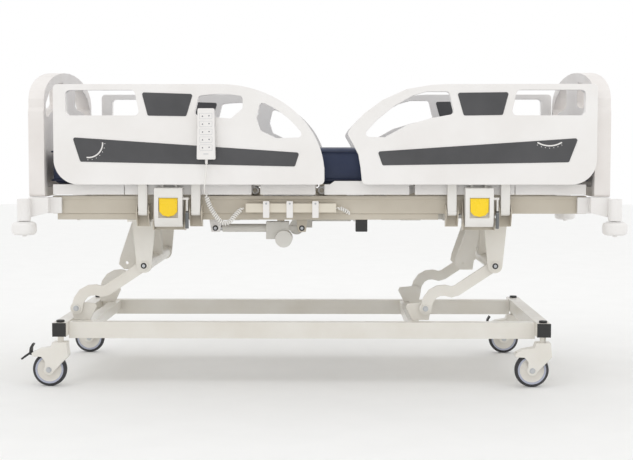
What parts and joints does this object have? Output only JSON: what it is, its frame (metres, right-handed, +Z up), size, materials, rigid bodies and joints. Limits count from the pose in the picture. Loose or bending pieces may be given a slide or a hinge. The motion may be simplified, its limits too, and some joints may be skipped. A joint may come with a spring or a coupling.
{
  "type": "adjustable hospital bed",
  "caption": "Wheeled four-section hospital bed with parallelogram lift, fold-down side rails, end boards, mattress and handset",
  "frame": {"origin": "centre of the bed on the floor", "axes": "+X towards the foot end, -Y towards the operator's side, +Z up"},
  "size_m": [2.184, 1.076, 1.158],
  "materials": {
    "beige_enamel": "powder coated, semi-gloss",
    "castor_wheel": "grey rubber tread on a beige plastic rim",
    "black_plastic": "moulded matte",
    "actuator_grey": "fine spark texture",
    "rod_steel": "ground",
    "mattress_cover": "coated knit",
    "yellow_plastic": "moulded gloss",
    "cord_sheath": "satin elastomer",
    "handset_shell": "fine texture",
    "tray_plastic": "extruded",
    "linkage_plastic": "moulded",
    "white_abs": "moulded satin"
  },
  "bodies": {
    "base": {"base_frame": "beige_enamel", "base_caps": "black_plastic", "base_pivots": "beige_enamel"},
    "head_arms": {"head_lift_arms": "beige_enamel"},
    "foot_arms": {"foot_lift_arms": "beige_enamel"},
    "bed": {"bed_frame": "beige_enamel", "leg_brackets": "beige_enamel", "rail_brackets": "beige_enamel", "corner_posts": "white_abs", "headboard": "white_abs", "footboard": "white_abs", "seat_panel": "white_abs", "mattress_mid": "mattress_cover", "cable_tray": "tray_plastic", "cord_tail": "cord_sheath", "head_lift_actuator": "actuator_grey", "foot_lift_actuator": "actuator_grey"},
    "head_lift_rod": {"head_lift_rod": "rod_steel"},
    "foot_lift_rod": {"foot_lift_rod": "rod_steel"},
    "castor_hn": {"castor_fork_hn": "beige_enamel"},
    "wheel_hn": {"castor_wheel_hn": "castor_wheel"},
    "castor_hf": {"castor_fork_hf": "beige_enamel"},
    "wheel_hf": {"castor_wheel_hf": "castor_wheel"},
    "castor_fn": {"castor_fork_fn": "beige_enamel"},
    "wheel_fn": {"castor_wheel_fn": "castor_wheel"},
    "castor_ff": {"castor_fork_ff": "beige_enamel"},
    "wheel_ff": {"castor_wheel_ff": "castor_wheel"},
    "pedal_hn": {"brake_pedal_hn": "black_plastic"},
    "pedal_ff": {"brake_pedal_ff": "black_plastic"},
    "roller_hn": {"corner_roller_hn": "white_abs"},
    "roller_hf": {"corner_roller_hf": "white_abs"},
    "roller_fn": {"corner_roller_fn": "white_abs"},
    "roller_ff": {"corner_roller_ff": "white_abs"},
    "backrest": {"back_panel": "white_abs", "mattress_head": "mattress_cover"},
    "thigh": {"thigh_panel": "white_abs"},
    "calf": {"calf_panel": "white_abs", "mattress_foot": "mattress_cover"},
    "back_motor": {"back_actuator": "actuator_grey"},
    "back_rod": {"back_rod": "rod_steel"},
    "knee_motor": {"knee_actuator": "actuator_grey"},
    "knee_rod": {"knee_rod": "rod_steel"},
    "arms_hn": {"rail_arms_hn": "linkage_plastic"},
    "rail_hn": {"rail_panel_hn": "white_abs", "handset": "handset_shell", "handset_cord": "cord_sheath"},
    "lever_hn": {"rail_lever_hn": "linkage_plastic"},
    "release_hn": {"rail_release_hn": "yellow_plastic"},
    "arms_hf": {"rail_arms_hf": "linkage_plastic"},
    "rail_hf": {"rail_panel_hf": "white_abs"},
    "lever_hf": {"rail_lever_hf": "linkage_plastic"},
    "release_hf": {"rail_release_hf": "yellow_plastic"},
    "arms_fn": {"rail_arms_fn": "linkage_plastic"},
    "rail_fn": {"rail_panel_fn": "white_abs"},
    "lever_fn": {"rail_lever_fn": "linkage_plastic"},
    "release_fn": {"rail_release_fn": "yellow_plastic"},
    "arms_ff": {"rail_arms_ff": "linkage_plastic"},
    "rail_ff": {"rail_panel_ff": "white_abs"},
    "lever_ff": {"rail_lever_ff": "linkage_plastic"},
    "release_ff": {"rail_release_ff": "yellow_plastic"}
  },
  "joints": [
    {"name": "lift", "type": "hinge", "parent": "base", "child": "head_arms", "pos_m": [-0.904, 0, 0.275], "axis": [0, -1, 0], "range_deg": [-45, 40]},
    {"name": "foot_lift", "type": "hinge", "parent": "base", "child": "foot_arms", "pos_m": [0.394, 0, 0.275], "axis": [0, -1, 0], "range_deg": [-45.5, 40.5]},
    {"name": "bed_level", "type": "hinge", "parent": "head_arms", "child": "bed", "pos_m": [-0.649, 0, 0.435], "axis": [0, -1, 0], "range_deg": [-40.5, 45.5]},
    {"name": "head_lift_stroke", "type": "slide", "parent": "bed", "child": "head_lift_rod", "axis": [-1, 0, 0], "range_m": [-0.124, 0.11]},
    {"name": "foot_lift_stroke", "type": "slide", "parent": "bed", "child": "foot_lift_rod", "axis": [-1, 0, 0], "range_m": [-0.124, 0.11]},
    {"name": "swivel_hn", "type": "hinge", "parent": "base", "child": "castor_hn", "pos_m": [-0.945, -0.391, 0.2], "axis": [0, 0, 1], "continuous": true},
    {"name": "roll_hn", "type": "hinge", "parent": "castor_hn", "child": "wheel_hn", "pos_m": [-0.985, -0.391, 0.0625], "axis": [0, 1, 0], "continuous": true},
    {"name": "swivel_hf", "type": "hinge", "parent": "base", "child": "castor_hf", "pos_m": [-0.945, 0.391, 0.2], "axis": [0, 0, 1], "continuous": true},
    {"name": "roll_hf", "type": "hinge", "parent": "castor_hf", "child": "wheel_hf", "pos_m": [-0.985, 0.391, 0.0625], "axis": [0, 1, 0], "continuous": true},
    {"name": "swivel_fn", "type": "hinge", "parent": "base", "child": "castor_fn", "pos_m": [0.815, -0.391, 0.2], "axis": [0, 0, 1], "continuous": true},
    {"name": "roll_fn", "type": "hinge", "parent": "castor_fn", "child": "wheel_fn", "pos_m": [0.775, -0.391, 0.0625], "axis": [0, 1, 0], "continuous": true},
    {"name": "swivel_ff", "type": "hinge", "parent": "base", "child": "castor_ff", "pos_m": [0.815, 0.391, 0.2], "axis": [0, 0, 1], "continuous": true},
    {"name": "roll_ff", "type": "hinge", "parent": "castor_ff", "child": "wheel_ff", "pos_m": [0.775, 0.391, 0.0625], "axis": [0, 1, 0], "continuous": true},
    {"name": "brake_hn", "type": "hinge", "parent": "castor_hn", "child": "pedal_hn", "pos_m": [-1.031, -0.391, 0.117], "axis": [0, -1, 0], "range_deg": [0, 10]},
    {"name": "brake_ff", "type": "hinge", "parent": "castor_ff", "child": "pedal_ff", "pos_m": [0.729, 0.391, 0.117], "axis": [0, -1, 0], "range_deg": [0, 10]},
    {"name": "bumper_hn", "type": "hinge", "parent": "bed", "child": "roller_hn", "pos_m": [-1.048, -0.494, 0.585], "axis": [0, 0, 1], "continuous": true},
    {"name": "bumper_hf", "type": "hinge", "parent": "bed", "child": "roller_hf", "pos_m": [-1.048, 0.494, 0.585], "axis": [0, 0, 1], "continuous": true},
    {"name": "bumper_fn", "type": "hinge", "parent": "bed", "child": "roller_fn", "pos_m": [1.048, -0.494, 0.585], "axis": [0, 0, 1], "continuous": true},
    {"name": "bumper_ff", "type": "hinge", "parent": "bed", "child": "roller_ff", "pos_m": [1.048, 0.494, 0.585], "axis": [0, 0, 1], "continuous": true},
    {"name": "backrest", "type": "hinge", "parent": "bed", "child": "backrest", "pos_m": [-0.232, 0, 0.717], "axis": [0, 1, 0], "range_deg": [0, 65], "deforming": ["mattress_head"]},
    {"name": "knee_break", "type": "hinge", "parent": "bed", "child": "thigh", "pos_m": [0.01, 0, 0.717], "axis": [0, -1, 0], "range_deg": [0, 35], "deforming": ["mattress_mid"]},
    {"name": "calf", "type": "hinge", "parent": "thigh", "child": "calf", "pos_m": [0.33, 0, 0.717], "axis": [0, 1, 0], "range_deg": [0, 52], "deforming": ["mattress_foot"]},
    {"name": "back_motor_swing", "type": "hinge", "parent": "bed", "child": "back_motor", "pos_m": [-0.063, -0.332, 0.577], "axis": [0, 1, 0], "range_deg": [0, 31.5]},
    {"name": "back_stroke", "type": "slide", "parent": "back_motor", "child": "back_rod", "axis": [-1, 0, 0], "range_m": [0, 0.102]},
    {"name": "knee_motor_swing", "type": "hinge", "parent": "bed", "child": "knee_motor", "pos_m": [-0.167, 0.332, 0.577], "axis": [0, -1, 0], "range_deg": [0, 16.2]},
    {"name": "knee_stroke", "type": "slide", "parent": "knee_motor", "child": "knee_rod", "axis": [1, 0, 0], "range_m": [0, 0.071]},
    {"name": "rail_drop_hn", "type": "hinge", "parent": "bed", "child": "arms_hn", "pos_m": [-0.535, -0.455, 0.64], "axis": [1, 0, 0], "range_deg": [0, 150]},
    {"name": "rail_level_hn", "type": "hinge", "parent": "arms_hn", "child": "rail_hn", "pos_m": [-0.535, -0.455, 0.79], "axis": [1, 0, 0], "range_deg": [-151, 1]},
    {"name": "rail_lever_hn", "type": "hinge", "parent": "bed", "child": "lever_hn", "pos_m": [-0.535, -0.455, 0.597], "axis": [1, 0, 0], "range_deg": [-1, 151]},
    {"name": "rail_release_hn", "type": "hinge", "parent": "lever_hn", "child": "release_hn", "pos_m": [-0.535, -0.484, 0.687], "axis": [-1, 0, 0], "range_deg": [0, 16], "stiffness_Nm_per_rad": 1.5},
    {"name": "rail_drop_hf", "type": "hinge", "parent": "bed", "child": "arms_hf", "pos_m": [-0.535, 0.455, 0.64], "axis": [-1, 0, 0], "range_deg": [0, 150]},
    {"name": "rail_level_hf", "type": "hinge", "parent": "arms_hf", "child": "rail_hf", "pos_m": [-0.535, 0.455, 0.79], "axis": [-1, 0, 0], "range_deg": [-151, 1]},
    {"name": "rail_lever_hf", "type": "hinge", "parent": "bed", "child": "lever_hf", "pos_m": [-0.535, 0.455, 0.597], "axis": [-1, 0, 0], "range_deg": [-1, 151]},
    {"name": "rail_release_hf", "type": "hinge", "parent": "lever_hf", "child": "release_hf", "pos_m": [-0.535, 0.484, 0.687], "axis": [1, 0, 0], "range_deg": [0, 16], "stiffness_Nm_per_rad": 1.5},
    {"name": "rail_drop_fn", "type": "hinge", "parent": "bed", "child": "arms_fn", "pos_m": [0.57, -0.455, 0.64], "axis": [1, 0, 0], "range_deg": [0, 150]},
    {"name": "rail_level_fn", "type": "hinge", "parent": "arms_fn", "child": "rail_fn", "pos_m": [0.57, -0.455, 0.79], "axis": [1, 0, 0], "range_deg": [-151, 1]},
    {"name": "rail_lever_fn", "type": "hinge", "parent": "bed", "child": "lever_fn", "pos_m": [0.57, -0.455, 0.597], "axis": [1, 0, 0], "range_deg": [-1, 151]},
    {"name": "rail_release_fn", "type": "hinge", "parent": "lever_fn", "child": "release_fn", "pos_m": [0.57, -0.484, 0.687], "axis": [-1, 0, 0], "range_deg": [0, 16], "stiffness_Nm_per_rad": 1.5},
    {"name": "rail_drop_ff", "type": "hinge", "parent": "bed", "child": "arms_ff", "pos_m": [0.57, 0.455, 0.64], "axis": [-1, 0, 0], "range_deg": [0, 150]},
    {"name": "rail_level_ff", "type": "hinge", "parent": "arms_ff", "child": "rail_ff", "pos_m": [0.57, 0.455, 0.79], "axis": [-1, 0, 0], "range_deg": [-151, 1]},
    {"name": "rail_lever_ff", "type": "hinge", "parent": "bed", "child": "lever_ff", "pos_m": [0.57, 0.455, 0.597], "axis": [-1, 0, 0], "range_deg": [-1, 151]},
    {"name": "rail_release_ff", "type": "hinge", "parent": "lever_ff", "child": "release_ff", "pos_m": [0.57, 0.484, 0.687], "axis": [1, 0, 0], "range_deg": [0, 16], "stiffness_Nm_per_rad": 1.5}
  ],
  "couplings": [
    {"joint": "foot_lift", "follows": "lift", "ratio": 1},
    {"joint": "bed_level", "follows": "lift", "ratio": -1},
    {"joint": "head_lift_stroke", "follows": "lift", "m_per_rad": 0.155},
    {"joint": "foot_lift_stroke", "follows": "lift", "m_per_rad": 0.155},
    {"joint": "calf", "follows": "knee_break", "ratio": 1.466},
    {"joint": "back_motor_swing", "follows": "backrest", "ratio": 0.4763},
    {"joint": "back_stroke", "follows": "backrest", "m_per_rad": 0.0889},
    {"joint": "knee_motor_swing", "follows": "knee_break", "ratio": 0.4529},
    {"joint": "knee_stroke", "follows": "knee_break", "m_per_rad": 0.114},
    {"joint": "rail_level_hn", "follows": "rail_drop_hn", "ratio": -1},
    {"joint": "rail_lever_hn", "follows": "rail_drop_hn", "ratio": 1},
    {"joint": "rail_level_hf", "follows": "rail_drop_hf", "ratio": -1},
    {"joint": "rail_lever_hf", "follows": "rail_drop_hf", "ratio": 1},
    {"joint": "rail_level_fn", "follows": "rail_drop_fn", "ratio": -1},
    {"joint": "rail_lever_fn", "follows": "rail_drop_fn", "ratio": 1},
    {"joint": "rail_level_ff", "follows": "rail_drop_ff", "ratio": -1},
    {"joint": "rail_lever_ff", "follows": "rail_drop_ff", "ratio": 1}
  ]
}
